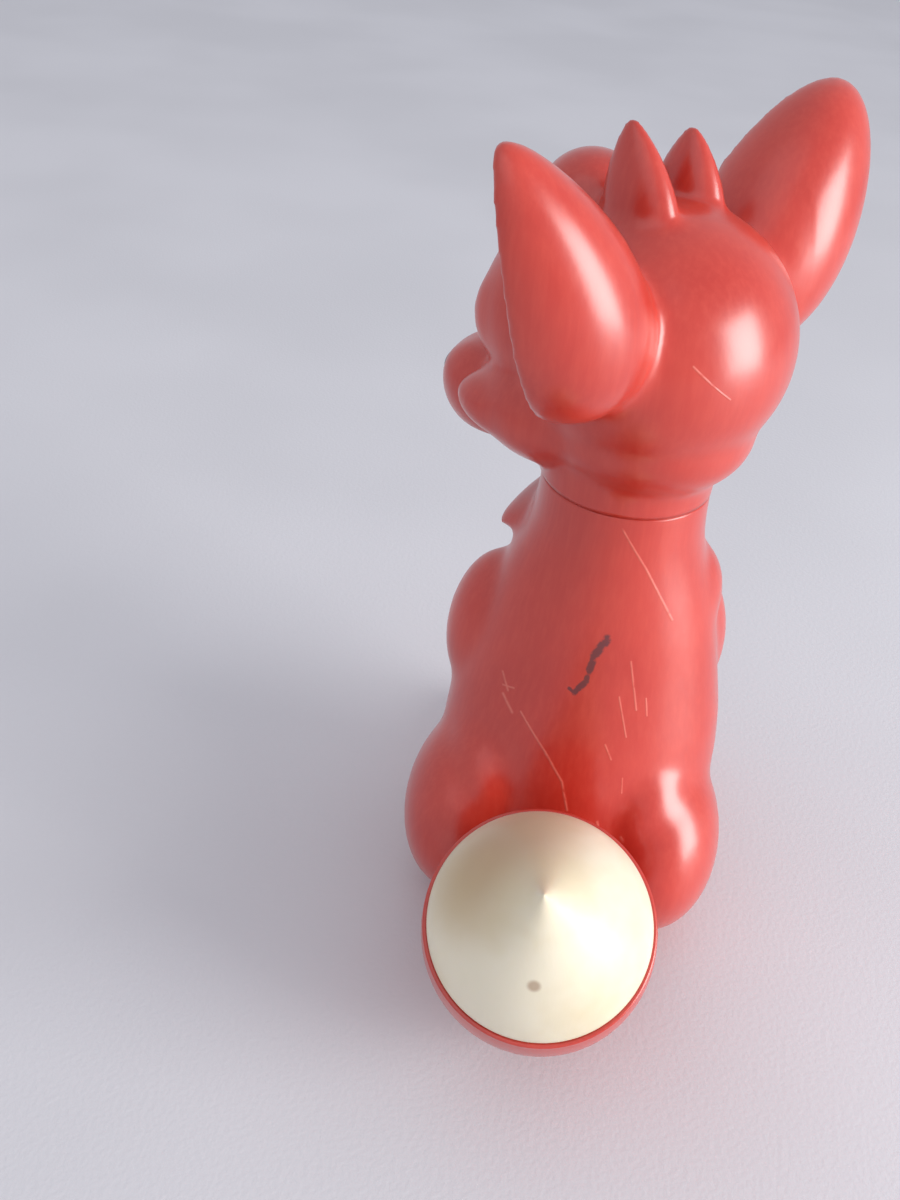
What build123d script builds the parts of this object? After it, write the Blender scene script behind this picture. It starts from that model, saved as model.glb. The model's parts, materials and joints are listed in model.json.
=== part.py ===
from build123d import *
import os
from math import atan2, cos, degrees, radians, sin

# A soft-vinyl squeeze toy: a seated fox. The hollow body, the hollow turning head and the hollow tail are
# separate mouldings. The head's lip runs in a groove on the neck, the tail plugs into the back, and a reed
# squeaker snaps into a hole in the sole.
# Millimetres, +Z up. The origin is on the floor under the neck axis. The chest faces -Y, the tail +Y, and
# the fox's own left is +X.

# ---------------------------------------------------------------- driving sizes: mouldings
WALL = 2.2  # vinyl wall of every moulding
NECK_HEIGHT = 96.0  # floor to the seam between body and head
NECK_RADIUS = 14.5
BODY_SHIFT = 1.0  # the trunk leans this much to the fox's left
UPPER_TWIST = 14.0  # shoulders and ruff turn with the look, in degrees
HEAD_YAW = 57.0  # how far the head is turned to the fox's left, in degrees

# ---------------------------------------------------------------- driving sizes: neck swivel
SPIGOT_RADIUS = 10.0  # the journal that the head turns on
SPIGOT_BORE = 6.5
LIP_HEIGHT = 3.2  # the head's lip, held under the flange
FLANGE_OVERHANG = 1.6
FLANGE_HEIGHT = 2.4
SWIVEL_GAP = 0.08  # radial clearance of the lip on the journal
SEAM_GAP = 0.3  # axial clearance below and above the lip
CAVITY_ROOM = 0.5  # free space round the flange inside the head

# ---------------------------------------------------------------- driving sizes: sole and squeaker
PLATE_HEIGHT = 2.2  # thickness of the raised plate that holds the squeaker
RECESS_DEPTH = 3.0
RECESS_RADIUS = 13.0
SOLE_HOLE_RADIUS = 9.0
FIT_GAP = 0.05  # between hard parts that seat on each other
CUP_WALL = 1.4
CUP_FLANGE_RADIUS = 11.5
CUP_FLANGE_HEIGHT = 1.4
CUP_BEAD = 0.9  # how far the snap bead stands out of the barrel
CUP_BEAD_HEIGHT = 1.4
CUP_HEIGHT = 15.5  # from the underside of the flange to the rim
VENT_RADIUS = 2.5
LEDGE_HEIGHT = 6.2  # reed plate's seat, above the underside of the flange
LEDGE_WIDTH = 1.3
REED_PLATE_HEIGHT = 1.5
REED_WIDTH = 3.0
REED_LENGTH = 9.0
REED_THICKNESS = 0.2
REED_ROOM = 0.25  # clearance above, below and beside the tongue
REED_ROOT = 1.6  # how much of the reed lies in the clamp
CLAMP_WIDTH = 5.4
CLAMP_HEIGHT = 1.6
CLAMP_PIN_RADIUS = 0.6
LID_HEIGHT = 1.5
LID_DROP = 0.8  # the lid lies this far under the rim
LID_HOLE_RADIUS = 1.1
LID_HOLE_CIRCLE = 4.2
LID_HOLES = 6

# ---------------------------------------------------------------- driving sizes: tail
TAIL_LEAN = 30.0  # of the brush axis from the vertical, in degrees
TAIL_FOOT = (1.0, 45.6, 17.0)  # a point on the brush axis
BRUSH_RADIUS = 21.0
TIP_SEAM = 24.0  # along the axis, from the foot point to the cream tip
BRUSH_DROP = 10.5  # along the axis, from the foot point down to the lowest point
TIP_LENGTH = 26.0
TIP_SKIRT = 4.0  # how far the tip reaches into the brush
GLUE_GAP = 0.15
ROOT_HEIGHT = 12.5  # of the root's axis above the floor
ROOT_COLLAR_RADIUS = 9.0
ROOT_PLUG_RADIUS = 7.0
ROOT_BORE = 4.0
ROOT_FLANGE_OVERHANG = 1.6
ROOT_FLANGE_HEIGHT = 2.0
BOSS_RADIUS = 12.0
BOSS_FACE = 31.0  # the flat on the body's back that the root's collar meets

# ---------------------------------------------------------------- driving sizes: face
EYE_WIDTH = 9.0
EYE_HEIGHT = 11.5
EYE_BULGE = 2.2
EYE_STEM_RADIUS = 1.5
EYE_STEM_LENGTH = 6.0
EYE_SPREAD = 9.6  # of each eye's centre from the head's middle
EYE_LEVEL = 27.0  # above the seam
EYE_TURN = 22.0  # outward, in degrees
PUPIL_SHARE = 0.56  # of the eye, in width and height
NOSE_RADII = (5.2, 4.2, 3.9)
NOSE_STEM_RADIUS = 1.5
NOSE_STEM_LENGTH = 7.0


def ellipsoid(centre, radii, turn=(0, 0, 0)):
    """A solid ellipsoid of three half-sizes, turned about its own centre."""
    return Pos(*centre) * Rot(*turn) * scale(Sphere(1), by=radii)


def slimmer(radii, by):
    """The same half-sizes, less a wall."""
    return tuple(r - by for r in radii)


def rod(radius, low, high):
    """An upright cylinder between two heights."""
    return Pos(0, 0, (low + high) / 2) * Cylinder(radius, high - low)


def turned(control_points):
    """A closed solid of revolution about Z from a Bezier outline in (radius, height) that starts and ends on Z."""
    curve = Bezier(*[(r, 0, h) for r, h in control_points])
    axis = Line((0, 0, control_points[-1][1]), (0, 0, control_points[0][1]))
    return revolve(make_face(Wire([curve.edge(), axis.edge()])), Axis.Z)


def joined(shapes):
    """One solid from several that overlap."""
    shapes = list(shapes)
    whole = shapes[0]
    for shape in shapes[1:]:
        whole = whole + shape
    return whole


# ---------------------------------------------------------------- body
# share of the neck height, half-width, half-depth, shift to the back
TRUNK_STATIONS = (
    (0.00, 22.0, 21.0, 4.0),
    (0.10, 26.0, 25.3, 4.0),
    (0.30, 27.0, 26.2, 3.5),
    (0.50, 25.6, 22.5, 2.0),
    (0.66, 23.0, 19.0, 1.0),
    (0.80, 19.4, 16.8, 0.4),
    (0.91, 15.6, 15.0, 0.0),
)
# centre on the fox's left, half-sizes, and whether it is hollow
HAUNCH = ((18.5, 12.0, 20.0), (14.5, 21.0, 21.0))
HAUNCH_TURN = 8.0
FOOT = ((15.5, -25.0, 6.5), (8.5, 17.0, 8.5))
FOOT_TURN = 7.0
UPPER_ARM = ((20.0, -6.5, 57.0), (9.0, 10.5, 17.0))
ARM_LEAN = 8.0
FOREARM = ((13.5, -18.5, 48.0), (11.0, 7.5, 7.0))
FOREARM_TURN = 35.0
PAW = ((7.2, -22.5, 50.0), (5.9, 6.2, 6.8))
RUFF_LOCKS = (((15.5, -9.0, 82.5), 36.0), ((0.0, -15.5, 80.0), 90.0), ((-14.0, -9.0, 82.5), 144.0))
RUFF_RADII = (9.5, 4.2, 4.4)


def trunk(shrink, low, high):
    """The pear-shaped trunk through its stations, shrunk by a wall and kept between two heights."""
    sections = [
        Pos(BODY_SHIFT * (1 - share), back, NECK_HEIGHT * share) * Ellipse(wide - shrink, deep - shrink)
        for share, wide, deep, back in TRUNK_STATIONS
    ]
    top = Pos(0, 0, NECK_HEIGHT) * Ellipse(NECK_RADIUS - shrink, NECK_RADIUS - shrink - 0.001)
    slab = Pos(0, 0, (low + high) / 2) * Box(4 * BRUSH_RADIUS, 4 * BRUSH_RADIUS, high - low)
    return loft([*sections, top]) & slab


def haunches(shrink, low):
    """Both hind legs, shrunk by a wall and cut flat at a height."""
    made = []
    for side in (1, -1):
        (x, y, z), radii = HAUNCH
        leg = ellipsoid((BODY_SHIFT + side * x, y, z), slimmer(radii, shrink), (0, 0, -side * HAUNCH_TURN))
        made.append(above(leg, low))
    return made


def above(shape, low):
    """What of a shape lies above a height."""
    room = 8 * BRUSH_RADIUS
    return shape & (Pos(0, 0, low + room / 2) * Box(room, room, room))


def limbs():
    """Feet, arms, paws and the chest ruff: small forms that fill solid in the mould."""
    made = []
    twist = Rot(0, 0, UPPER_TWIST)
    for side in (1, -1):
        (x, y, z), radii = FOOT
        made.append(above(ellipsoid((side * x, y, z), radii, (0, 0, side * FOOT_TURN)), 0))
        (x, y, z), radii = UPPER_ARM
        made.append(twist * ellipsoid((BODY_SHIFT + side * x, y, z), radii, (0, -side * ARM_LEAN, 0)))
        (x, y, z), radii = FOREARM
        made.append(twist * ellipsoid((side * x, y, z), radii, (0, 0, side * FOREARM_TURN)))
        (x, y, z), radii = PAW
        made.append(twist * ellipsoid((side * x, y, z), radii))
    made += [twist * ellipsoid(centre, RUFF_RADII, (0, slope, 0)) for centre, slope in RUFF_LOCKS]
    return made


def neck_spigot():
    """The journal and the flange above it that the head's lip snaps over."""
    lip_top = NECK_HEIGHT + LIP_HEIGHT + 2 * SEAM_GAP
    journal = rod(SPIGOT_RADIUS, NECK_HEIGHT - WALL, lip_top)
    flange = rod(SPIGOT_RADIUS + FLANGE_OVERHANG, lip_top, lip_top + FLANGE_HEIGHT)
    return journal + flange


def body_shell():
    """Trunk, haunches, feet, arms and ruff in one hollow moulding, open at the neck, back and sole."""
    plate_top = RECESS_DEPTH + PLATE_HEIGHT
    spigot_top = NECK_HEIGHT + LIP_HEIGHT + 2 * SEAM_GAP + FLANGE_HEIGHT
    outer = joined([trunk(0, 0, NECK_HEIGHT), *haunches(0, 0), *limbs()])
    inner = joined([trunk(WALL, WALL, NECK_HEIGHT - WALL), *haunches(WALL, WALL)])
    boss = back_rod(BOSS_RADIUS, 0, BOSS_FACE)
    shell = (outer + boss) - inner - back_rod(BOSS_RADIUS - WALL, 0, BOSS_FACE - WALL)
    shell -= back_rod(ROOT_PLUG_RADIUS + GLUE_GAP, 0, BOSS_FACE)
    shell = above(shell, 0) + neck_spigot()
    shell -= rod(SPIGOT_BORE, NECK_HEIGHT - 2 * WALL, spigot_top)
    shell += rod(RECESS_RADIUS + WALL, 0, plate_top)
    shell -= rod(RECESS_RADIUS, 0, RECESS_DEPTH)
    return shell - rod(SOLE_HOLE_RADIUS, 0, plate_top)


def back_rod(radius, front, back):
    """A cylinder along Y at the height of the tail's root."""
    return Pos(0, (front + back) / 2, ROOT_HEIGHT) * Rot(90, 0, 0) * Cylinder(radius, back - front)


# ---------------------------------------------------------------- head, in its own frame on the seam, facing -Y
CRANIUM = ((0, 1.0, 27.5), (23.6, 23.6, 23.0))
BROW = ((0, -16.0, 28.0), (19.5, 18.0, 18.0))
CHEEKS = ((0, -12.0, 12.5), (22.0, 18.0, 12.5))
MUZZLE = ((0, -30.0, 6.5), (12.5, 14.5, 10.5))
NAPE = ((0, 2.0, 13.5), (19.0, 19.5, 12.5))
HOLLOW_LUMPS = (CRANIUM, BROW, CHEEKS, MUZZLE, NAPE)
FORELOCK = ((0, -17.0, 46.0), (9.0, 9.0, 8.5))
CHEEK_TUFT = ((15.0, -18.0, 11.5), (6.5, 11.0, 5.5))
COLLAR_HEIGHT = 9.0
EAR_BASE = (26.8, -2.0, 24.0)
EAR_TIP = (43.5, -1.0, 65.0)
EAR_RADIUS = 15.0
EAR_FACING = 33.0  # of the ear's opening, outward from the front, in degrees
EAR_CUT = 6.0  # at the root, the flat front lies this far before the ear's middle
EAR_TIP_CUT = 0.8  # and this far at the tip
EAR_DISH = 0.74  # the hollow's share of the ear's size
EAR_DISH_SHIFT = 3.0  # toward the front
EAR_DISH_RISE = 0.18  # of the ear's length
EAR_SEAM_TURN = 110.0  # keeps the seam of the revolved ear off the edge of the cut, in degrees
TUFTS = (
    ((6.0, -1.5, 46.0), (6.0, -6.5, 62.5), 5.4),
    ((-6.0, -2.0, 46.0), (-6.0, -4.0, 61.5), 5.4),
)


def ear_form(share, length):
    """A teardrop on Z from its root to its tip, at a share of an ear's size."""
    outline = [(0.0, -0.14), (0.92, -0.15), (1.46, 0.3), (0.82, 0.71), (0.58, 0.98), (0.0, 1.0)]
    return turned([(r * EAR_RADIUS * share, h * length * share) for r, h in outline])


def ear(side):
    """A cupped ear: a teardrop with its front cut flat and dished, on one side of the head."""
    base = Vector(side * EAR_BASE[0], EAR_BASE[1], EAR_BASE[2])
    axis = Vector(side * EAR_TIP[0], EAR_TIP[1], EAR_TIP[2]) - base
    facing = Vector(side * sin(radians(EAR_FACING)), -cos(radians(EAR_FACING)), 0)
    seat = Plane(origin=base, x_dir=facing.cross(axis), z_dir=axis)
    front = 1 if seat.y_dir.dot(facing) > 0 else -1
    lean = front * degrees(atan2(EAR_CUT - EAR_TIP_CUT, axis.length))
    cut = Pos(0, front * EAR_TIP_CUT, axis.length) * Rot(lean, 0, 0) * Pos(0, front * EAR_RADIUS, 0)
    cut *= Box(6 * EAR_RADIUS, 2 * EAR_RADIUS, 4 * axis.length)
    dish = Pos(0, front * EAR_DISH_SHIFT, axis.length * EAR_DISH_RISE)
    dish *= ear_form(EAR_DISH, axis.length)
    whole = Rot(0, 0, side * EAR_SEAM_TURN) * ear_form(1, axis.length)
    return seat * (whole - cut - dish)


def tuft(base, tip, radius):
    """A pointed lock of hair on the crown."""
    base = Vector(*base)
    axis = Vector(*tip) - base
    outline = [(0.0, -0.2), (1.75, -0.15), (1.05, 0.55), (0.25, 0.75), (0.0, 1.0)]
    form = turned([(r * radius, h * axis.length) for r, h in outline])
    return Plane(origin=base, x_dir=(1, 0, 0), z_dir=axis) * form


def placed(local):
    """From the head's own frame to where the turned head sits on the neck."""
    return Pos(0, 0, NECK_HEIGHT) * Rot(0, 0, HEAD_YAW) * local


def head_shell():
    """Skull, muzzle, ears and tufts in one hollow moulding, with the lip that runs on the neck's journal."""
    lip_low = SEAM_GAP
    lip_high = SEAM_GAP + LIP_HEIGHT
    cavity_radius = SPIGOT_RADIUS + FLANGE_OVERHANG + CAVITY_ROOM
    outer = joined(ellipsoid(centre, radii) for centre, radii in HOLLOW_LUMPS)
    outer += rod(cavity_radius + WALL, 0, COLLAR_HEIGHT)
    inner = joined(ellipsoid(centre, slimmer(radii, WALL)) for centre, radii in HOLLOW_LUMPS)
    inner = above(inner, lip_high) + rod(cavity_radius, lip_high, COLLAR_HEIGHT)
    for side in (1, -1):
        (x, y, z), radii = CHEEK_TUFT
        outer += ear(side)
        outer += ellipsoid((side * x, y, z), radii)
    outer = joined([outer, ellipsoid(*FORELOCK), *(tuft(*lock) for lock in TUFTS)])
    shell = above(outer, lip_low) - inner
    shell -= rod(SPIGOT_RADIUS + SWIVEL_GAP, 0, lip_high)
    for side in (1, -1):
        shell -= eye_seat(side) * rod(EYE_STEM_RADIUS, -EYE_STEM_LENGTH, 0)
        shell -= eye_seat(side) * eye_lens(1)
    shell -= nose_seat() * rod(NOSE_STEM_RADIUS, -NOSE_STEM_LENGTH, 0)
    shell -= nose_form()
    return placed(shell)


# ---------------------------------------------------------------- eyes and nose
def on_lump(lump, x, z):
    """The y of a lump's front at a given x and z."""
    (cx, cy, cz), (rx, ry, rz) = lump
    return cy - ry * (1 - ((x - cx) / rx) ** 2 - ((z - cz) / rz) ** 2) ** 0.5


def eye_seat(side):
    """Where an eye sits on the brow, with Z pointing out of the face."""
    y = on_lump(BROW, EYE_SPREAD, EYE_LEVEL)
    out = Vector(side * sin(radians(EYE_TURN)), -cos(radians(EYE_TURN)), 0)
    return Plane(origin=(side * EYE_SPREAD, y, EYE_LEVEL), x_dir=(0, 0, 1), z_dir=out)


def eye_lens(share):
    """A lens-shaped button, an eye's size or a share of it."""
    return scale(Sphere(1), by=(EYE_HEIGHT / 2 * share, EYE_WIDTH / 2 * share, EYE_BULGE))


def eye(side):
    """The white button and its stem, with a seat for the pupil."""
    button = eye_lens(1) + rod(EYE_STEM_RADIUS, -EYE_STEM_LENGTH, 0)
    return placed(eye_seat(side) * (button - pupil_form()))


def pupil_form():
    """The dark insert, which stands a little out of the white."""
    return Pos(0, 0, EYE_BULGE * 0.4) * eye_lens(PUPIL_SHARE)


def pupil(side):
    """The dark insert on its eye."""
    return placed(eye_seat(side) * pupil_form())


def nose_seat():
    """The tip of the muzzle, with Z pointing out of the face."""
    tip_z = MUZZLE[0][2] + 3.2
    return Plane(origin=(0, on_lump(MUZZLE, 0, tip_z), tip_z), x_dir=(1, 0, 0), z_dir=(0, -1, 0.25))


def nose_form():
    """The rounded nose pad."""
    wide, deep, high = NOSE_RADII
    return nose_seat() * scale(Sphere(1), by=(wide, high, deep))


def nose_button():
    """The nose pad and the stem that holds it in the muzzle."""
    return placed(nose_form() + nose_seat() * rod(NOSE_STEM_RADIUS, -NOSE_STEM_LENGTH, 0))


# ---------------------------------------------------------------- tail
def brush_outline(shrink):
    """Control points in (radius, distance along the axis) of the whole brush and tip, less a wall."""
    widest = BRUSH_RADIUS - shrink
    return [
        (0.0, shrink - BRUSH_DROP),
        (widest * 0.92, shrink - BRUSH_DROP),
        (widest * 1.2, TIP_SEAM * 0.45 + shrink * 0.1),
        (widest * 1.4, TIP_SEAM * 1.4 - shrink * 0.15),
        (widest * 0.48, TIP_SEAM + TIP_LENGTH * 0.44 - shrink * 0.3),
        (widest * 0.2, TIP_SEAM + TIP_LENGTH * 0.76 - shrink),
        (0.0, TIP_SEAM + TIP_LENGTH - shrink * 2),
    ]


def on_tail(local):
    """From the brush's axis frame to its place behind the body."""
    return Pos(*TAIL_FOOT) * Rot(-TAIL_LEAN, 0, 0) * local


def brush_solid(shrink):
    """The brush and tip as one closed solid about Z."""
    return turned(brush_outline(shrink))


def below_tip(shape, along):
    """What of a brush-frame shape lies below a distance along the axis."""
    room = 8 * BRUSH_RADIUS
    return shape & (Pos(0, 0, along - room / 2) * Box(room, room, room))


def tail_brush():
    """The red brush with its root collar and the plug that holds it in the body."""
    outer = on_tail(below_tip(brush_solid(0), TIP_SEAM))
    inner = on_tail(brush_solid(WALL))
    plug_end = BOSS_FACE - WALL - GLUE_GAP - ROOT_FLANGE_HEIGHT
    root = back_rod(ROOT_COLLAR_RADIUS, BOSS_FACE + GLUE_GAP, TAIL_FOOT[1])
    plug = back_rod(ROOT_PLUG_RADIUS, plug_end, BOSS_FACE + GLUE_GAP)
    flange = back_rod(ROOT_PLUG_RADIUS + ROOT_FLANGE_OVERHANG, plug_end, plug_end + ROOT_FLANGE_HEIGHT)
    return (outer + root) - inner + (plug + flange) - back_rod(ROOT_BORE, plug_end, TAIL_FOOT[1])


def tail_tip():
    """The cream tip, a pointed hollow dome with a skirt glued inside the brush."""
    dome = above(brush_solid(0), TIP_SEAM + GLUE_GAP)
    skirt_low = TIP_SEAM - TIP_SKIRT
    skirt = above(below_tip(brush_solid(WALL + GLUE_GAP), TIP_SEAM + WALL), skirt_low)
    return on_tail((dome + skirt) - brush_solid(2 * WALL))


# ---------------------------------------------------------------- squeaker, on the Z axis
CUP_LOW = RECESS_DEPTH - CUP_FLANGE_HEIGHT - FIT_GAP
CUP_RADIUS = SOLE_HOLE_RADIUS - FIT_GAP
CUP_BORE = CUP_RADIUS - CUP_WALL
REED_PLATE_LOW = CUP_LOW + LEDGE_HEIGHT
REED_LEVEL = REED_PLATE_LOW + REED_PLATE_HEIGHT + REED_ROOM + REED_THICKNESS / 2
REED_HINGE_Y = REED_LENGTH / 2 - REED_ROOT


def squeaker_cup():
    """The cup that snaps into the sole: flange, barrel with a bead, floor with a vent, and a ledge."""
    plate_top = RECESS_DEPTH + PLATE_HEIGHT + FIT_GAP
    rim = CUP_LOW + CUP_HEIGHT
    cup = rod(CUP_FLANGE_RADIUS, CUP_LOW, CUP_LOW + CUP_FLANGE_HEIGHT) + rod(CUP_RADIUS, CUP_LOW, rim)
    cup += rod(CUP_RADIUS + CUP_BEAD, plate_top, plate_top + CUP_BEAD_HEIGHT)
    cup -= rod(CUP_BORE, REED_PLATE_LOW, rim)
    cup -= rod(CUP_BORE - LEDGE_WIDTH, CUP_LOW + CUP_FLANGE_HEIGHT, REED_PLATE_LOW)
    return cup - rod(VENT_RADIUS, CUP_LOW, REED_PLATE_LOW)


def reed_plate():
    """The slotted disc that the tongue beats in."""
    low = REED_PLATE_LOW + FIT_GAP
    high = low + REED_PLATE_HEIGHT - FIT_GAP
    slot_length = REED_LENGTH - REED_ROOT + 2 * REED_ROOM
    slot = Pos(0, REED_HINGE_Y - REED_ROOM - slot_length / 2 + REED_ROOM, (low + high) / 2)
    slot *= Box(REED_WIDTH + 2 * REED_ROOM, slot_length, high - low + 1)
    pin_hole_y = REED_HINGE_Y + REED_ROOT + 2 * CLAMP_PIN_RADIUS
    pin_hole = Pos(0, pin_hole_y, 0) * rod(CLAMP_PIN_RADIUS + FIT_GAP, low, high)
    return rod(CUP_BORE - FIT_GAP, low, high) - slot - pin_hole


def reed():
    """The thin tongue, held at one end."""
    return Pos(0, REED_HINGE_Y + REED_ROOT - REED_LENGTH / 2, REED_LEVEL) * Box(
        REED_WIDTH, REED_LENGTH, REED_THICKNESS
    )


def reed_clamp():
    """A small block with a pocket over the reed's root and a pin down into the plate."""
    seat = REED_PLATE_LOW + REED_PLATE_HEIGHT
    length = REED_ROOT + 4 * CLAMP_PIN_RADIUS
    block = Pos(0, REED_HINGE_Y + length / 2, seat + CLAMP_HEIGHT / 2 + FIT_GAP)
    block *= Box(CLAMP_WIDTH, length, CLAMP_HEIGHT)
    pocket_height = REED_THICKNESS + 2 * REED_ROOM
    pocket = Pos(0, REED_HINGE_Y + REED_ROOT / 2, seat + pocket_height / 2)
    pocket *= Box(REED_WIDTH + 2 * REED_ROOM, REED_ROOT + 2 * REED_ROOM, pocket_height)
    pin_y = REED_HINGE_Y + REED_ROOT + 2 * CLAMP_PIN_RADIUS
    pin = Pos(0, pin_y, 0) * rod(CLAMP_PIN_RADIUS, REED_PLATE_LOW + FIT_GAP, seat + CLAMP_HEIGHT)
    return (block - pocket) + pin


def squeaker_lid():
    """The perforated disc that closes the cup."""
    high = CUP_LOW + CUP_HEIGHT - LID_DROP
    lid = rod(CUP_BORE - FIT_GAP, high - LID_HEIGHT, high)
    for turn in range(LID_HOLES):
        spot = Rot(0, 0, turn * 360 / LID_HOLES) * Pos(LID_HOLE_CIRCLE, 0, 0)
        lid -= spot * rod(LID_HOLE_RADIUS, high - LID_HEIGHT, high)
    return lid


PIECES = {
    "body_shell": body_shell,
    "head_shell": head_shell,
    "eye_left": lambda: eye(1),
    "eye_right": lambda: eye(-1),
    "pupil_left": lambda: pupil(1),
    "pupil_right": lambda: pupil(-1),
    "nose_button": nose_button,
    "tail_brush": tail_brush,
    "tail_tip": tail_tip,
    "squeaker_cup": squeaker_cup,
    "reed_plate": reed_plate,
    "reed": reed,
    "reed_clamp": reed_clamp,
    "squeaker_lid": squeaker_lid,
}

os.makedirs("parts", exist_ok=True)
for name, make in PIECES.items():
    export_step(make(), f"parts/{name}.step")
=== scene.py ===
# %% [markdown]
# # A soft vinyl squeeze fox
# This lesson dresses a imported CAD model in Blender. The toy is four hollow vinyl mouldings (a seated body, a
# turning head, a tail brush and its pale tip) with hard eyes, a nose and a reed squeaker in the sole.
# The CAD gives true sizes and places, and Blender gives the soft modelled surface and the finish.

import json
import math

import bmesh
import bpy
from mathutils import Euler, Matrix, Vector


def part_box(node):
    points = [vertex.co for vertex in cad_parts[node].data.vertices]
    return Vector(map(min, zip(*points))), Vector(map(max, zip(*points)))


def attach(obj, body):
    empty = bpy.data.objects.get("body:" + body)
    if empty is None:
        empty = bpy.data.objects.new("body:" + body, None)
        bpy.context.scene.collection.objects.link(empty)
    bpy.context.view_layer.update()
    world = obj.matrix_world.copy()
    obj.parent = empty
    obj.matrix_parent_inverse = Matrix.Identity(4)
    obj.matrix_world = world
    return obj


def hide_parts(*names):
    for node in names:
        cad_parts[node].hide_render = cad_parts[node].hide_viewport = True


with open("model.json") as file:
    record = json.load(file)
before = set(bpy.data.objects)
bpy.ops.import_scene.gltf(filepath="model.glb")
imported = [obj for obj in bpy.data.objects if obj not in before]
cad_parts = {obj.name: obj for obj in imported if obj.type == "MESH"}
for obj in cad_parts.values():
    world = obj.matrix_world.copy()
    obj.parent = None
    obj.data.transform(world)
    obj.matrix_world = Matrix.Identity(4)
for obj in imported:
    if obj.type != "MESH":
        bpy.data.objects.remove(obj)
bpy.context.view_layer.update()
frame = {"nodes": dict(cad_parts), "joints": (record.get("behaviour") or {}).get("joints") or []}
MM = 0.001

# %% [markdown]
# ## The place of the head
# The head is modelled in a frame of its own, with the seam at zero and the face toward -Y, because its pieces
# are easier to place that way. The joint gives the seam's height, and the nose shows how far it is turned.

# %% Frames that the pieces are made in
swivel = next(j for j in frame["joints"] if j["name"] == "neck_swivel")
seam_height = swivel["pos_m"][2]
nose_low, nose_high = (Vector(v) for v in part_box("nose_button"))
nose_middle = (nose_low + nose_high) / 2
head_yaw = math.atan2(nose_middle.x, -nose_middle.y)
HEAD_FRAME = Matrix.Translation((0, 0, seam_height)) @ Matrix.Rotation(head_yaw, 4, "Z")
print("seam at", round(seam_height / MM, 1), "mm, head turned", round(math.degrees(head_yaw), 1), "degrees")

# %% [markdown]
# ## Forms in clay
# A sculptor builds a toy like this from balls of clay pressed together and smoothed. The same works here:
# stretched spheres are placed in one mesh, a voxel remesh fuses them into one skin, and smoothing the
# vertices softens the creases as a thumb would. Metaballs could fuse the balls too, but their size is hard to
# hold. Clay is placed in millimetres, and these helpers turn that into metres.

# %% Clay helpers
BALL_DETAIL = 5
LOCK_OUTLINE = [(0, -0.25), (16, -0.25), (13.5, 0.4), (6, 0.75), (2.5, 1), (0, 1)]
LOCK_UNIT = 10  # about how far the outline swells from its axis


def ball(bm, centre, radii, turn=(0, 0, 0), frame_in=Matrix()):
    """One ball stretched to three half-sizes and turned by degrees about its own centre."""
    place = Matrix.Translation(Vector(centre) * MM)
    place @= Euler([math.radians(a) for a in turn]).to_matrix().to_4x4()
    place @= Matrix.Diagonal((*(Vector(radii) * MM), 1))
    bmesh.ops.create_icosphere(bm, subdivisions=BALL_DETAIL, radius=1, matrix=frame_in @ place)


def tag(verts):
    """Marks vertices as finished, so that the next turned form leaves them alone."""
    for v in verts:
        v.tag = True


def lathe(bm, outline, matrix=Matrix(), steps=96):
    """A closed turned form about Z, from (radius, height) pairs that start and end on the axis."""
    points = [bm.verts.new((r * MM, 0, h * MM)) for r, h in outline]
    edges = [bm.edges.new(pair) for pair in zip(points, points[1:])]
    bmesh.ops.spin(
        bm, geom=points + edges, axis=(0, 0, 1), cent=(0, 0, 0), dvec=(0, 0, 0),
        angle=math.tau, steps=steps, use_merge=True, use_duplicate=False,
    )
    bmesh.ops.remove_doubles(bm, verts=[v for v in bm.verts if not v.tag], dist=1e-6)
    verts = [v for v in bm.verts if not v.tag]
    bmesh.ops.transform(bm, matrix=matrix, verts=verts)
    tag(verts)


def bezier(points, count):
    """Points along one Bezier curve of any degree."""
    made = []
    for k in range(count + 1):
        t = k / count
        row = [Vector(p) for p in points]
        while len(row) > 1:
            row = [a.lerp(b, t) for a, b in zip(row, row[1:])]
        made.append(tuple(row[0]))
    return made


def lock(bm, root, tip, across, wide, thick, frame_in=Matrix()):
    """A flat pointed lock of fur from its root to its tip, broad in the direction of across."""
    axis = (Vector(tip) - Vector(root)).normalized()
    flat = (Vector(across) - axis * axis.dot(Vector(across))).normalized()
    turn = Matrix((flat, axis.cross(flat), axis)).transposed().to_4x4()
    size = Matrix.Diagonal((wide / LOCK_UNIT, thick / LOCK_UNIT, 1, 1))
    place = Matrix.Translation(Vector(root) * MM) @ turn @ size
    length = (Vector(tip) - Vector(root)).length
    lathe(bm, [(r, h * length) for r, h in bezier(LOCK_OUTLINE, 24)], frame_in @ place, 48)


def to_object(bm, name):
    """A mesh object from a finished bmesh, with its faces pointing outwards."""
    bmesh.ops.recalc_face_normals(bm, faces=bm.faces[:])
    mesh = bpy.data.meshes.new(name)
    bm.to_mesh(mesh)
    bm.free()
    made = bpy.data.objects.new(name, mesh)
    bpy.context.scene.collection.objects.link(made)
    return made


def baked(made):
    """The object's mesh with its modifiers applied."""
    bpy.context.view_layer.update()
    graph = bpy.context.evaluated_depsgraph_get()
    mesh = bpy.data.meshes.new_from_object(made.evaluated_get(graph))
    made.modifiers.clear()
    old = made.data
    made.data = mesh
    bpy.data.meshes.remove(old)
    return made


def fused(made, voxel):
    """The object's overlapping forms as one skin of even quads, voxel millimetres wide."""
    remesh = made.modifiers.new("fuse", "REMESH")
    remesh.mode = "VOXEL"
    remesh.voxel_size = voxel * MM
    return baked(made)


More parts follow.
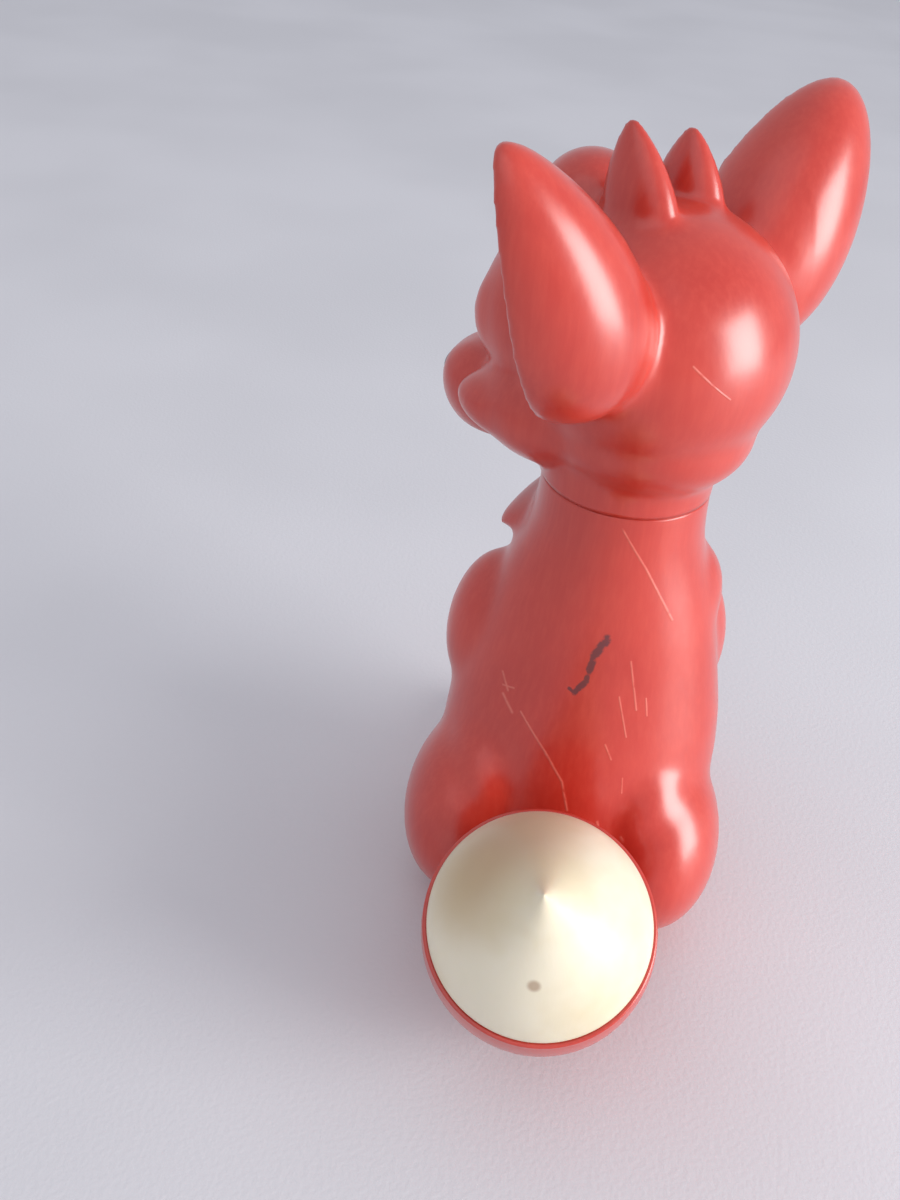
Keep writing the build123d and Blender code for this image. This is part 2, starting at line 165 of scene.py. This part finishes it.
def soften(made, rounds, keep=lambda p: False):
    """Smooths every vertex but those that keep() names by their place in millimetres."""
    bm = bmesh.new()
    bm.from_mesh(made.data)
    loose = [v for v in bm.verts if not keep(v.co / MM)]
    for _ in range(rounds):
        bmesh.ops.smooth_vert(bm, verts=loose, factor=0.5, use_axis_x=True, use_axis_y=True, use_axis_z=True)
    bm.to_mesh(made.data)
    bm.free()
    return made


def slice_off(bm, point, normal):
    """Drops all on the normal's side of a plane through a point in metres, and gives the cut's edges."""
    everything = bm.verts[:] + bm.edges[:] + bm.faces[:]
    cut = bmesh.ops.bisect_plane(
        bm, geom=everything, plane_co=point, plane_no=normal, clear_outer=True, dist=1e-7
    )["geom_cut"]
    return [g for g in cut if isinstance(g, bmesh.types.BMEdge)]


def trim(made, level, way):
    """Cuts the clay level at a height and closes it; way is 1 to drop what is above, -1 below."""
    bm = bmesh.new()
    bm.from_mesh(made.data)
    bmesh.ops.contextual_create(bm, geom=slice_off(bm, (0, 0, level * MM), (0, 0, way)))
    bm.to_mesh(made.data)
    bm.free()


def shade_smooth(made):
    made.data.polygons.foreach_set("use_smooth", [True] * len(made.data.polygons))
    made.data.update()


def report(made):
    print(made.name, len(made.data.polygons), "faces,", [round(v / MM, 1) for v in made.dimensions], "mm")


# %% [markdown]
# ## The body
# The trunk is a pear that narrows to the neck, with a haunch at each side, feet in front and bent arms on the
# chest. Its sections are ellipses, so the trunk starts as one ring of vertices that is extruded up and
# resized from station to station. The limbs are balls and the ruff is flat locks, pressed in. The neck runs a
# little past the seam, and after the smoothing it is cut level there, so that its edge stays crisp.

# %% Body clay
# share of the seam's height, half-width, half-depth and shift to the back
TRUNK = [
    (0.0, 22.0, 21.0, 4.0), (0.05, 24.4, 23.6, 4.0), (0.1, 26.0, 25.3, 4.0), (0.2, 27.4, 26.2, 3.8),
    (0.3, 28.2, 26.2, 3.5), (0.4, 28.4, 24.8, 2.8), (0.5, 27.2, 22.5, 2.0), (0.58, 25.4, 20.6, 1.5),
    (0.66, 23.6, 19.0, 1.0), (0.73, 21.8, 17.9, 0.7), (0.8, 19.6, 16.9, 0.4), (0.86, 17.4, 16.3, 0.2),
    (0.91, 16.2, 15.9, 0.0), (0.96, 15.8, 15.7, 0.0), (1.04, 15.5, 15.5, 0.0),
]
# root, tip and broad direction of each lock on the chest
RUFF = [
    ((9, -8, 88), (24, -6.5, 77), (0, 1, 0)), ((3, -14, 88), (9, -21, 72), (1, 0, 0)),
    ((-4, -14, 88), (-5, -21.5, 71), (1, 0, 0)), ((-8, -10, 88), (-17, -12.5, 78), (0, 1, 0)),
]
RUFF_SIZE = (9.0, 3.6)  # half-width and half-thickness
NECK = seam_height / MM
SHIFT = 1.0  # the seat is this far to the left of the neck
UPPER_TWIST = Matrix.Rotation(math.radians(14), 4, "Z")
BODY_VOXEL = 0.8
BODY_ROUNDS = 25


def station(share, wide, deep, back):
    """The place and the size of one ring of the trunk."""
    place = Matrix.Translation(((1 - share) * SHIFT * MM, back * MM, share * NECK * MM))
    return place @ Matrix.Diagonal((wide * MM, deep * MM, 1, 1))


def trunk(bm):
    ring = bmesh.ops.create_circle(bm, cap_ends=True, radius=1, segments=96)["verts"]
    here = station(*TRUNK[0])
    bmesh.ops.transform(bm, matrix=here, verts=ring)
    for row in TRUNK[1:]:
        edges = [e for e in bm.edges if all(v in ring for v in e.verts)]
        grown = bmesh.ops.extrude_edge_only(bm, edges=edges)["geom"]
        ring = [g for g in grown if isinstance(g, bmesh.types.BMVert)]
        there = station(*row)
        bmesh.ops.transform(bm, matrix=there @ here.inverted(), verts=ring)
        here = there
    bmesh.ops.contextual_create(bm, geom=[e for e in bm.edges if e.is_boundary])


def body_clay():
    bm = bmesh.new()
    trunk(bm)
    for side in (1, -1):
        ball(bm, (SHIFT + side * 18.5, 12, 20), (14.5, 21, 21), (0, 0, -side * 8))  # haunch
        ball(bm, (SHIFT + side * 15.5, 11, 30), (11.5, 17.5, 17))  # its run into the back
        ball(bm, (side * 15.5, -25, 6.5), (8.5, 17, 8.5), (0, 0, side * 7))  # foot
        ball(bm, (SHIFT + side * 20, -6.5, 57), (9, 10.5, 17), (0, -side * 8, 0), UPPER_TWIST)  # upper arm
        ball(bm, (side * 13.5, -18.5, 48), (11, 7.5, 7), (0, 0, side * 35), UPPER_TWIST)  # forearm
        ball(bm, (side * 7.2, -22.5, 50), (5.9, 6.2, 6.8), (0, 0, 0), UPPER_TWIST)  # paw
    ball(bm, (-14, -3, 71), (8.5, 10, 12))  # right shoulder
    tag(bm.verts)
    for root, tip, across in RUFF:
        lock(bm, root, tip, across, *RUFF_SIZE)
    return to_object(bm, "body_skin")


body = soften(fused(body_clay(), BODY_VOXEL), BODY_ROUNDS)
trim(body, seam_height / MM, 1)
report(body)

# %% [markdown]
# ## The sole
# The underside is flat where the toy stands, with a round recess that guards the squeaker. A cut at floor
# height opens the skin. The body's cut edge is bridged to a circle, and the circle is extruded up and in to
# make the recess. Any smaller loops that the cut leaves at the feet are simply closed.

# %% Cut the sole
RECESS_RADIUS = 13.0
RECESS_DEPTH = 3.0
HOLE_RADIUS = 9.0
HOLE_DEPTH = 2.2


def open_loops(edges):
    """The loops that the edges make, the shortest first."""
    left = dict.fromkeys(edges)
    loops = []
    while left:
        grow = [left.popitem()[0]]
        loop = []
        while grow:
            edge = grow.pop()
            loop.append(edge)
            for near in (e for v in edge.verts for e in v.link_edges):
                if near in left:
                    del left[near]
                    grow.append(near)
        loops.append(loop)
    return sorted(loops, key=len)


def cut_sole(made):
    bm = bmesh.new()
    bm.from_mesh(made.data)
    slice_off(bm, (0, 0, 0), (0, 0, -1))
    *small, rim = open_loops([e for e in bm.edges if e.is_boundary])
    for loop in small:
        bmesh.ops.contextual_create(bm, geom=loop)
    circle = bmesh.ops.create_circle(bm, cap_ends=False, radius=RECESS_RADIUS * MM, segments=128)["verts"]
    ring = list(dict.fromkeys(e for v in circle for e in v.link_edges))
    bmesh.ops.bridge_loops(bm, edges=rim + ring)
    for up, radius in ((RECESS_DEPTH, RECESS_RADIUS), (0, HOLE_RADIUS), (HOLE_DEPTH, HOLE_RADIUS)):
        grown = bmesh.ops.extrude_edge_only(bm, edges=ring)["geom"]
        verts = [g for g in grown if isinstance(g, bmesh.types.BMVert)]
        ring = [g for g in grown if isinstance(g, bmesh.types.BMEdge)]
        growth = radius * MM / verts[0].co.xy.length
        bmesh.ops.scale(bm, vec=(growth, growth, 1), verts=verts)
        bmesh.ops.translate(bm, vec=(0, 0, up * MM), verts=verts)
    bmesh.ops.recalc_face_normals(bm, faces=bm.faces[:])
    bm.to_mesh(made.data)
    bm.free()
    print("the cut leaves", len(small), "small loops beside the rim")


cut_sole(body)
shade_smooth(body)
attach(body, "torso")
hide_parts("body_shell")

# %% [markdown]
# ## The head
# Skull, brow, cheeks, temples and muzzle are balls, and two upright locks make the hair. The ears are turned
# teardrops with the front cut away on a slanting plane and a smaller teardrop scooped out, which a Boolean
# does before the clay is fused. The left ear is narrower toward its tip than the right one.

# %% Head clay
EAR_RADIUS = 15.0
EAR_FACING = math.radians(33)  # how far each ear's open side is turned outwards
ROOT_CUT = 6.0  # from an ear's axis forward to the cut, at the root
TIP_CUT = 0.8  # and at the tip
DISH_SHARE = 0.74  # the scoop's size as a share of the ear's
DISH_SHIFT = 3.0  # how far forward the scoop stands
DISH_RISE = 0.18  # and how far up, as a share of the ear's length
HEAD_VOXEL = 0.7
HEAD_ROUNDS = 5
SKULL_ROUNDS = 20  # more rounds, for all but the ears and tufts
FINE_HEIGHT = 50.5  # the tufts lie above this
FINE_SIDE = 27  # and the ears lie further out than this
SEAM_GAP = 0.3
# centre and half-sizes of the balls on the middle line
SKULL = [
    ((0, 1, 27.5), (23.6, 23.6, 23)), ((0, -16, 28), (19.5, 16, 18)), ((0, -12, 12.5), (22, 18, 12.5)),
    ((0, -30, 6.5), (12.5, 14.5, 10.5)), ((0, 2, 13.5), (19, 19.5, 12.5)), ((0, -17, 46), (9, 9, 8.5)),
]
TUFT_SIZE = (6.8, 3.8)  # half-width and half-thickness
NECK_SKIRT = [(0, -4), (15.6, -4), (15.8, 4), (15.8, 9), (0, 9)]
# root, tip and fullness toward the tip
LEFT_EAR = ((23.0, 3.9, 28.5), (42.0, -1.2, 65), 0.62)
RIGHT_EAR = ((-26.8, -2, 24), (-45, 0, 64), 1.0)


def teardrop(share, length, full):
    """A turned ear form at a share of its size, standing on its root."""
    curve = [(0, -0.14), (0.92, -0.15), (1.46, 0.3), (0.82 * full, 0.71), (0.58 * full, 0.98), (0, 1)]
    bm = bmesh.new()
    lathe(bm, [(r * EAR_RADIUS * share, h * length * share) for r, h in bezier(curve, 28)])
    return bm


def seated(bm, place, name):
    """The form as an object, moved from the ear's own frame to its place on the head."""
    bmesh.ops.transform(bm, matrix=HEAD_FRAME @ place, verts=bm.verts[:])
    return to_object(bm, name)


def ear(side, base, tip, full):
    """One cupped ear as its own object."""
    base, tip = Vector(base), Vector(tip)
    facing = Vector((side * math.sin(EAR_FACING), -math.cos(EAR_FACING), 0))
    axis = (tip - base).normalized()
    front = (facing - axis * facing.dot(axis)).normalized()
    seat = Matrix((front.cross(axis), front, axis)).transposed().to_4x4()
    seat.translation = base * MM
    length = (tip - base).length
    bm = teardrop(1, length, full)
    rim = slice_off(bm, (0, TIP_CUT * MM, length * MM), (0, length, ROOT_CUT - TIP_CUT))
    bmesh.ops.contextual_create(bm, geom=rim)
    cup = seated(bm, seat, "ear_cup")
    shift = Matrix.Translation((0, DISH_SHIFT * MM, DISH_RISE * length * MM))
    scoop = seated(teardrop(DISH_SHARE, length, full), seat @ shift, "ear_scoop")
    dish = cup.modifiers.new("dish", "BOOLEAN")
    dish.operation = "DIFFERENCE"
    dish.solver = "EXACT"
    dish.object = scoop
    baked(cup)
    bpy.data.objects.remove(scoop)
    return cup


def head_clay():
    bm = bmesh.new()
    for centre, radii in SKULL:
        ball(bm, centre, radii, (0, 0, 0), HEAD_FRAME)
    for side in (1, -1):
        ball(bm, (side * 15, -18, 11.5), (6.5, 11, 5.5), (0, 0, 0), HEAD_FRAME)  # cheek ridge
        ball(bm, (side * 12, -20.5, 27), (6.2, 8.5, 9.5), (0, 0, 0), HEAD_FRAME)  # temple
        ball(bm, (side * 5.5, -32.5, 8.5), (7, 9, 7.5), (0, 0, 0), HEAD_FRAME)  # muzzle pad
    tag(bm.verts)
    lathe(bm, NECK_SKIRT, HEAD_FRAME)
    lock(bm, (6, -1, 44), (6.3, -6.5, 62.8), (0, 1, 0), *TUFT_SIZE, HEAD_FRAME)
    lock(bm, (-6, -1.5, 44), (-6.2, -3.5, 60.6), (0, 1, 0), *TUFT_SIZE, HEAD_FRAME)
    for side, shape in ((1, LEFT_EAR), (-1, RIGHT_EAR)):
        cup = ear(side, *shape)
        bm.from_mesh(cup.data)
        bpy.data.objects.remove(cup)
    return to_object(bm, "head_skin")


head = fused(head_clay(), HEAD_VOXEL)
in_head = HEAD_FRAME.inverted()


def fine_part(p):
    """Ears and tufts keep more of their edge than the skull does."""
    q = in_head @ (p * MM) / MM
    return q.z > FINE_HEIGHT or abs(q.x) > FINE_SIDE


head = soften(soften(head, HEAD_ROUNDS), SKULL_ROUNDS, fine_part)
trim(head, seam_height / MM + SEAM_GAP, -1)
report(head)
shade_smooth(head)
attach(head, "head")
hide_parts("head_shell")

# %% [markdown]
# ## Eyes and nose
# The eyes are shallow lenses pressed into the brow until only their faces stand out. Each pupil is a smaller
# lens pressed into its eye, and the nose is a pad low on the front of the muzzle.


# %% Face pieces
def button(node, centre, radii, turn):
    """A lens of its own, on the head, in place of the CAD node."""
    bm = bmesh.new()
    ball(bm, centre, radii, (0, 0, turn), HEAD_FRAME)
    made = to_object(bm, node + "_skin")
    shade_smooth(made)
    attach(made, "head")
    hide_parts(node)
    return made


SIDES = ((1, "left"), (-1, "right"))
EYE_TURN = 20
eyes, darks = [], []
for side, name in SIDES:
    eyes.append(button("eye_" + name, (side * 8.6, -29.2, 27), (4.3, 1.8, 5.5), side * EYE_TURN))
for side, name in SIDES:
    darks.append(button("pupil_" + name, (side * 8.5, -30.3, 26.8), (2.4, 1.0, 3.3), side * EYE_TURN))
darks.append(button("nose_button", (0, -43.0, 6.2), (4.8, 3.0, 3.6), 0))

# %% [markdown]
# ## The tail
# The brush and its pale tip are turned on one leaning axis. The tip's skirt sits inside the brush, so a fine
# groove shows where they meet, and the brush's rim stands a little proud of the tip.

# %% Tail brush and tip
LEAN = math.radians(-30)
TAIL_FOOT = Vector((1.0, 45.6, 17.0))
TAIL_FRAME = Matrix.Translation(TAIL_FOOT * MM) @ Matrix.Rotation(LEAN, 4, "X")
SEAM = 24.0  # along the axis from the tail's foot point to where the tip begins
DROP = 10.5  # and down to the brush's lowest point
TIP = 26.0  # from the seam up to the tip's point
WIDE = 21.0  # the half-width that the outline is drawn from
# the collar is a short round bar that runs from inside the body's back into the brush
COLLAR_RADIUS = 9.0
COLLAR_LENGTH = 16.0
COLLAR_BACK = 31.15
COLLAR_HEIGHT = 12.5
BRUSH = bezier(
    [
        (0, -DROP), (WIDE * 0.92, -DROP), (WIDE * 1.2, SEAM * 0.45), (WIDE * 1.4, SEAM * 1.4),
        (WIDE * 0.48, SEAM + TIP * 0.44), (WIDE * 0.2, SEAM + TIP * 0.76), (0, SEAM + TIP),
    ],
    96,
)


def from_rim(radius, steps):
    """Outline points from steps outwards and upwards, measured from a radius at the height of the seam."""
    return [(radius + out, SEAM + up) for out, up in steps]


def tail_brush():
    """The brush with its rolled rim, and the collar that joins it to the body."""
    lower = [(r, h) for r, h in BRUSH if h < SEAM - 0.8]
    rim = from_rim(lower[-1][0], [(0.15, -0.5), (0.1, -0.1), (-0.35, 0.1), (-1.0, -0.2), (-2.2, -2)])
    bm = bmesh.new()
    lathe(bm, lower + rim + [(0, SEAM - 4)], TAIL_FRAME, 128)
    root = Matrix.Translation((0, COLLAR_BACK * MM, COLLAR_HEIGHT * MM))
    root @= Matrix.Rotation(math.radians(-90), 4, "X")
    lathe(bm, [(0, 0), (COLLAR_RADIUS, 0), (COLLAR_RADIUS, COLLAR_LENGTH), (0, COLLAR_LENGTH)], root, 64)
    return to_object(bm, "tail_brush_skin")


def tail_tip():
    """The tip, with a hem that goes down inside the brush's rim."""
    upper = [(r, h) for r, h in BRUSH if h > SEAM + 0.5]
    hem = from_rim(upper[0][0], [(-2.4, -3), (-1.4, -0.3), (-0.5, 0.05), (-0.05, 0.3)])
    bm = bmesh.new()
    lathe(bm, [(0, SEAM - 3)] + hem + upper[:-1] + [(0, SEAM + TIP)], TAIL_FRAME, 160)
    return to_object(bm, "tail_tip_skin")


brush = tail_brush()
tip = tail_tip()
for made, slot_name, node in ((brush, "red_vinyl", "tail_brush"), (tip, "cream_vinyl", "tail_tip")):
    report(made)
    shade_smooth(made)
    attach(made, "torso")
    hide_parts(node)

# %% [markdown]
# ## Shader maths
# A wrapped socket lets a pattern be written as a sum, and each operator adds the node that does it.


# %% Socket class
class Socket:
    tree = None

    def __init__(self, link):
        self.link = link

    def maths(self, operation, *others):
        return node("ShaderNodeMath", {"operation": operation}, (self, *others))

    def __add__(self, other):
        return self.maths("ADD", other)

    def __mul__(self, other):
        return self.maths("MULTIPLY", other)

    def __sub__(self, other):
        return self.maths("SUBTRACT", other)

    def __rsub__(self, other):
        return node("ShaderNodeMath", {"operation": "SUBTRACT"}, (other, self))

    def __truediv__(self, other):
        return self.maths("DIVIDE", other)

    __radd__ = __add__
    __rmul__ = __mul__

    def least(self, other):
        return self.maths("MINIMUM", other)

    def most(self, other):
        return self.maths("MAXIMUM", other)

    def ramp(self, low, high):
        """0 below low, 1 above high, and smooth between; low may be above high."""
        return node(
            "ShaderNodeMapRange", {"interpolation_type": "SMOOTHSTEP", "clamp": True},
            (self, low, high, 0.0, 1.0),
        )


def node(kind, settings=None, values=(), out=0):
    """One node in the tree being made: its settings first, then its sockets by order or by name."""
    made = Socket.tree.nodes.new(kind)
    for key, value in (settings or {}).items():
        setattr(made, key, value)
    pairs = values.items() if isinstance(values, dict) else enumerate(values)
    for key, value in pairs:
        if isinstance(value, Socket):
            Socket.tree.links.new(value.link, made.inputs[key])
        else:
            made.inputs[key].default_value = value
    return Socket(made.outputs[out])


def blend(mask, a, b):
    """Colour a where the mask is 0 and b where it is 1."""
    made = Socket.tree.nodes.new("ShaderNodeMix")
    made.data_type = "RGBA"
    for key, value in ((0, mask), (6, a), (7, b)):
        if isinstance(value, Socket):
            Socket.tree.links.new(value.link, made.inputs[key])
        else:
            made.inputs[key].default_value = value if key == 0 else (*value, 1)
    return Socket(made.outputs[2])


def vector(operation, *values, out=0):
    return node("ShaderNodeVectorMath", {"operation": operation}, values, out)


def object_place():
    return node("ShaderNodeTexCoord", out=3)


def noise(place, scale, detail=3.0, rough=0.55):
    return node(
        "ShaderNodeTexNoise", {"noise_dimensions": "3D"},
        {"Vector": place, "Scale": scale, "Detail": detail, "Roughness": rough},
    )


def stretched(place, factors):
    return vector("MULTIPLY", place, factors)


def bump(height, strength, distance, below=None):
    values = {"Strength": strength, "Distance": distance, "Height": height}
    if below is not None:
        values["Normal"] = below
    return node("ShaderNodeBump", {}, values)


def new_material(name):
    made = bpy.data.materials.new(name)
    made.use_nodes = True
    Socket.tree = made.node_tree
    shader = next(n for n in made.node_tree.nodes if n.type == "BSDF_PRINCIPLED")
    return made, shader


def feed(shader, name, value):
    if isinstance(value, Socket):
        Socket.tree.links.new(value.link, shader.inputs[name])
    else:
        shader.inputs[name].default_value = value


def from_srgb(*values):
    """A linear colour from 0-255 screen values."""
    parts = [v / 255 for v in values]
    return tuple(v / 12.92 if v <= 0.04045 else ((v + 0.055) / 1.055) ** 2.4 for v in parts)


# %% [markdown]
# ## Scuffs
# A scratch is a short straight line on the surface. The distance from a point to a line segment gives a mask
# that is 1 on the line, and the same mask can lighten the colour and press the bump in.


# %% Segment mask
def segment(place, start, end, width):
    """1 on the line from start to end, both in millimetres, and 0 a width away."""
    a = Vector(start) * MM
    run = Vector(end) * MM - a
    from_a = vector("SUBTRACT", place, tuple(a))
    along = vector("DOT_PRODUCT", from_a, tuple(run), out=1) / run.length_squared
    along = along.most(0.0).least(1.0)
    step = node("ShaderNodeVectorMath", {"operation": "SCALE"}, {0: tuple(run), "Scale": along})
    away = vector("LENGTH", vector("SUBTRACT", from_a, step), out=1)
    return away.ramp(width * MM, 0.0)


def drawn(place, lines):
    """1 on any of the lines, each from one (x, z) point to another, drawn on the side that faces +Y."""
    flat = stretched(place, (1.0, 0.0, 1.0))
    marks = None
    for (x0, z0), (x1, z1), width in lines:
        mark = segment(flat, (x0, 0, z0), (x1, 0, z1), width)
        marks = mark if marks is None else marks.most(mark)
    behind = vector("DOT_PRODUCT", place, (0.0, 1.0, 0.0), out=1).ramp(0.002, 0.006)
    return marks * behind


# %% [markdown]
# ## Red vinyl
# The mouldings are sprayed red-orange vinyl with a worn semi-gloss skin: fine streaks from handling run up
# and down, the colour is a little uneven, and the gloss is patchy.


# %% Red vinyl finish
def red_vinyl(name, scratches=(), ink=()):
    made, shader = new_material(name)
    place = object_place()
    cloud = noise(place, 45.0, 3.0).ramp(0.3, 0.7)
    streak = noise(stretched(place, (1.0, 1.0, 0.12)), 900.0, 4.0, 0.6)
    grain = noise(place, 2600.0, 2.0)
    colour = blend(cloud, from_srgb(190, 46, 32), from_srgb(201, 56, 40))
    colour = blend(streak.ramp(0.35, 0.75) * 0.2, colour, from_srgb(220, 86, 64))
    relief = streak * 0.5 + grain * 0.25
    if scratches:
        marks = drawn(place, scratches) * noise(place, 500.0, 2.0).ramp(0.2, 0.5)
        colour = blend(marks * 0.45, colour, from_srgb(240, 140, 118))
        relief = relief + marks * 3.0
    if ink:
        stain = drawn(place, ink) * (noise(place, 800.0, 3.0).ramp(0.3, 0.6) * 0.6 + 0.4)
        colour = blend(stain.ramp(0.15, 0.6) * 0.75, colour, from_srgb(48, 32, 44))
    feed(shader, "Base Color", colour)
    feed(shader, "Roughness", 0.26 + cloud * 0.05 + streak * 0.1)
    feed(shader, "Normal", bump(relief, 0.25, 0.0001))
    shader.inputs["Subsurface Weight"].default_value = 0.08
    shader.inputs["Subsurface Radius"].default_value = (0.004, 0.0012, 0.0006)
    shader.inputs["IOR"].default_value = 1.55
    shader.inputs["Coat Weight"].default_value = 0.6
    shader.inputs["Coat Roughness"].default_value = 0.24
    return made


SCRATCHES = [
    ((-1, 94), (-6.2, 86.4), 0.3), ((-6.2, 86.4), (-12.9, 75.2), 0.3), ((-6.9, 67.6), (-9.6, 57.8), 0.28),
    ((-6, 60.4), (-8.7, 52.4), 0.25), ((-5.1, 50.7), (-6.7, 47.8), 0.3), ((11.8, 52.9), (5.9, 47.1), 0.35),
    ((5.9, 47.1), (1.7, 42.1), 0.4), ((1.7, 42.1), (-0.2, 36.5), 0.4), ((16.6, 58.3), (15, 55.6), 0.4),
    ((15.8, 54.4), (13.5, 52), 0.5), ((16.2, 56), (13.9, 56.6), 0.3), ((-11.4, 31.9), (-12, 31.2), 0.5),
    ((-6.3, 34.6), (-6.6, 33.8), 0.45), ((-9.5, 44), (-9.9, 41), 0.25), ((-11, 60), (-11.8, 56.5), 0.25),
]
INK = [
    ((-1.9, 71.8), (-0.2, 68.2), 1.5), ((-0.2, 68.2), (0.3, 65.2), 1.2), ((0.3, 65.2), (0.6, 62.6), 0.9),
    ((0.6, 62.6), (2.4, 60.1), 1.1), ((2.4, 60.1), (3.4, 60.6), 0.7),
]
body.data.materials.clear()
body.data.materials.append(red_vinyl("red_vinyl_body", SCRATCHES, INK))
head.data.materials.clear()
head.data.materials.append(
    red_vinyl("red_vinyl_head", [((-7, 128.9), (-10.4, 126.1), 0.25), ((-10.4, 126.1), (-13.7, 123.4), 0.2)])
)
brush.data.materials.append(red_vinyl("red_vinyl_tail"))

# %% [markdown]
# ## Cream vinyl
# The tip is moulded in pale vinyl that has yellowed unevenly, with a small mark. A tan patch on the flank away
# from the window is partly yellowing and partly painted shade.


# %% Cream vinyl finish
def spot(place, centre, radius, soft):
    """1 within a ball about a point in millimetres, fading over the soft share of its radius."""
    away = vector("LENGTH", vector("SUBTRACT", place, tuple(Vector(centre) * MM)), out=1)
    return away.ramp(radius * MM, radius * (1 - soft) * MM)


def cream_vinyl(name):
    made, shader = new_material(name)
    place = object_place()
    cloud = noise(place, 60.0, 3.0)
    grain = noise(stretched(place, (1.0, 1.0, 0.3)), 1200.0, 3.0)
    # painted shade mixed with yellowing: a tan patch on the flank that faces away from the window
    shade_and_yellowing = spot(place, (13.5, 60, 51), 17, 0.9) * (cloud * 0.8 + 0.5)
    edge = spot(place, (6, 52, 52), 15, 0.8) * (cloud * 0.8 + 0.4)
    colour = blend(cloud.ramp(0.3, 0.7), from_srgb(226, 212, 180), from_srgb(238, 228, 204))
    colour = blend(shade_and_yellowing.least(1.0) * 0.75, colour, from_srgb(176, 140, 92))
    colour = blend(edge.least(1.0) * 0.6, colour, from_srgb(186, 142, 104))
    mark = spot(place, (0, 74.5, 43), 1.5, 0.6) * cloud.ramp(0.3, 0.55)
    colour = blend(mark * 0.6, colour, from_srgb(150, 108, 74))
    feed(shader, "Base Color", colour)
    feed(shader, "Roughness", 0.3 + grain * 0.1)
    feed(shader, "Normal", bump(grain, 0.2, 0.0001))
    shader.inputs["Subsurface Weight"].default_value = 0.12
    shader.inputs["Subsurface Radius"].default_value = (0.004, 0.003, 0.0015)
    return made


tip.data.materials.append(cream_vinyl("cream_vinyl_tip"))


# %% [markdown]
# ## Hard trim
# Eyes, nose and squeaker are hard mouldings. The CAD already shapes the squeaker, so it only takes a finish.


# %% Hard finishes
def hard(name, low, high, rough, scale=120.0):
    made, shader = new_material(name)
    place = object_place()
    cloud = noise(place, scale, 3.0).ramp(0.3, 0.7)
    grain = noise(place, 3000.0, 2.0)
    feed(shader, "Base Color", blend(cloud, from_srgb(*low), from_srgb(*high)))
    feed(shader, "Roughness", rough + cloud * 0.08)
    feed(shader, "Normal", bump(grain, 0.1, 0.00005))
    return made, shader


def dress(names, finish):
    for name in names:
        mesh = frame["nodes"][name].data
        mesh.materials.clear()
        mesh.materials.append(finish)


eye_finish = hard("eye_white", (232, 228, 214), (240, 237, 226), 0.16)[0]
dark_finish = hard("black_gloss", (16, 14, 14), (26, 23, 22), 0.12)[0]
for made in eyes:
    made.data.materials.append(eye_finish)
for made in darks:
    made.data.materials.append(dark_finish)
squeaker_finish = hard("squeaker_white", (216, 210, 194), (226, 221, 206), 0.42)[0]
dress(("squeaker_cup", "squeaker_lid", "reed_plate", "reed_clamp"), squeaker_finish)
reed_finish, reed_shader = hard("reed_brass", (196, 158, 88), (210, 174, 104), 0.28, 400.0)
reed_shader.inputs["Metallic"].default_value = 1.0
dress(("reed",), reed_finish)

# %% [markdown]
# ## Shelf, light and camera
# The toy stands on a pale laminate shelf, and the camera looks down on its back. One large soft window stands
# low on the toy's own right, a little behind it, and a weak fill from above keeps the far side open.

# %% Shelf
SHELF_HALF = 3.0
bm = bmesh.new()
bmesh.ops.create_grid(bm, x_segments=2, y_segments=2, size=SHELF_HALF)
shelf = to_object(bm, "shelf")
shelf_finish, shader = new_material("pale_laminate")
place = object_place()
pebble = noise(place, 900.0, 2.0, 0.5)
tone = noise(place, 6.0, 2.0).ramp(0.3, 0.7)
feed(shader, "Base Color", blend(tone, from_srgb(214, 213, 217), from_srgb(222, 221, 225)))
feed(shader, "Roughness", 0.5)
feed(shader, "Normal", bump(pebble, 0.35, 0.0002))
shelf.data.materials.append(shelf_finish)


# %% Lights
def soft_light(name, place, aim, size, power, colour):
    data = bpy.data.lights.new(name, "AREA")
    data.shape = "RECTANGLE"
    data.size, data.size_y = size
    data.energy = power
    data.color = colour
    made = bpy.data.objects.new(name, data)
    made.location = place
    made.rotation_euler = (Vector(aim) - Vector(place)).to_track_quat("-Z", "Y").to_euler()
    bpy.context.scene.collection.objects.link(made)


soft_light("window", (-0.9, 0.23, 0.31), (0, 0, 0.08), (0.52, 0.62), 10.0, (1.0, 0.985, 0.97))
soft_light("fill", (0.3, 0.7, 0.9), (0, 0, 0.07), (1.0, 1.0), 1.2, (0.97, 0.97, 1.0))
world = bpy.data.worlds.new("room")
world.use_nodes = True
world.node_tree.nodes["Background"].inputs["Color"].default_value = (0.9, 0.92, 1.0, 1)
world.node_tree.nodes["Background"].inputs["Strength"].default_value = 0.66
bpy.context.scene.world = world
bpy.context.scene.view_settings.view_transform = "Standard"

# %% Camera
CAMERA_PLACE = (0.0, 0.196, 0.205)
camera_data = bpy.data.cameras.new("camera")
camera_data.lens = 36
camera_data.sensor_width = 36
camera_data.clip_start = 0.01
camera = bpy.data.objects.new("camera", camera_data)
bpy.context.scene.collection.objects.link(camera)
heading, pitch, roll = math.radians(8.9), math.radians(36), math.radians(5)
flat = Vector((math.sin(heading), -math.cos(heading), 0))
forward = flat * math.cos(pitch) - Vector((0, 0, math.sin(pitch)))
level = forward.cross(Vector((0, 0, 1))).normalized()
upright = level.cross(forward)
right = level * math.cos(roll) + upright * math.sin(roll)
up = upright * math.cos(roll) - level * math.sin(roll)
turned = Matrix((right, up, -forward)).transposed().to_4x4()
camera.matrix_world = Matrix.Translation(CAMERA_PLACE) @ turned
bpy.context.scene.camera = camera
print("camera at", tuple(round(v, 3) for v in camera.matrix_world.translation))
